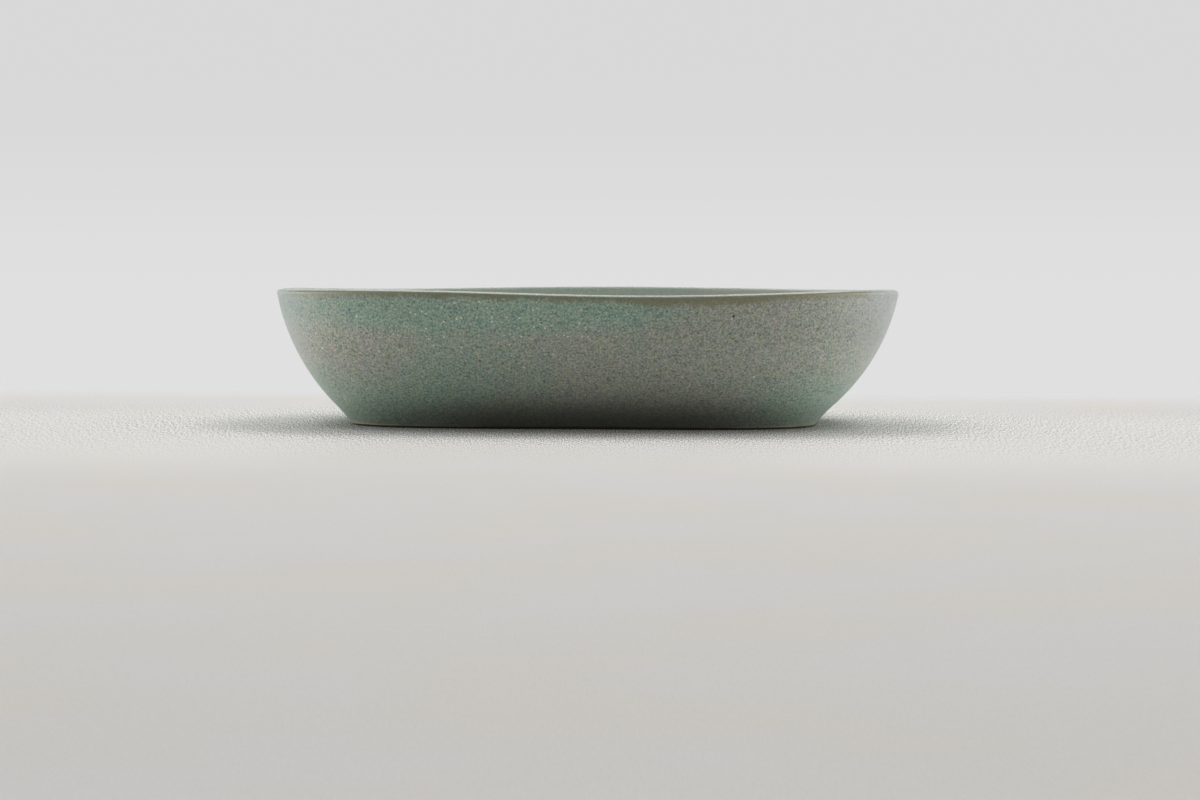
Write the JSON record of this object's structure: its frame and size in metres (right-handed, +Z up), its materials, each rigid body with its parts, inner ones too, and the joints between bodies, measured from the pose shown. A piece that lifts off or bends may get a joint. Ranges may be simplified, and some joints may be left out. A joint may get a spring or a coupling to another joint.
{
  "type": "oval plate",
  "caption": "Deep oval stoneware plate with a thin flared wall, softly waved round lip, matt speckled glaze and a flat bare foot ring.",
  "frame": {"origin": "on the table surface, under the middle of the rim", "axes": "+X along the long axis, +Y across the plate and away from the front in the picture, +Z up"},
  "size_m": [0.22, 0.152, 0.0479],
  "materials": {
    "bare_clay": "dry, matt, fine sandy stoneware",
    "outside_glaze": "matt to satin turquoise grey, finely speckled",
    "lip_glaze": "satin, thin, breaking to olive brown",
    "inside_glaze": "satin turquoise grey, finely speckled",
    "underside_glaze": "matt to satin turquoise grey"
  },
  "bodies": {
    "root": {"clay_body": "bare_clay", "outside_glaze": "outside_glaze", "lip_glaze": "lip_glaze", "inside_glaze": "inside_glaze", "underside_glaze": "underside_glaze"}
  },
  "joints": []
}
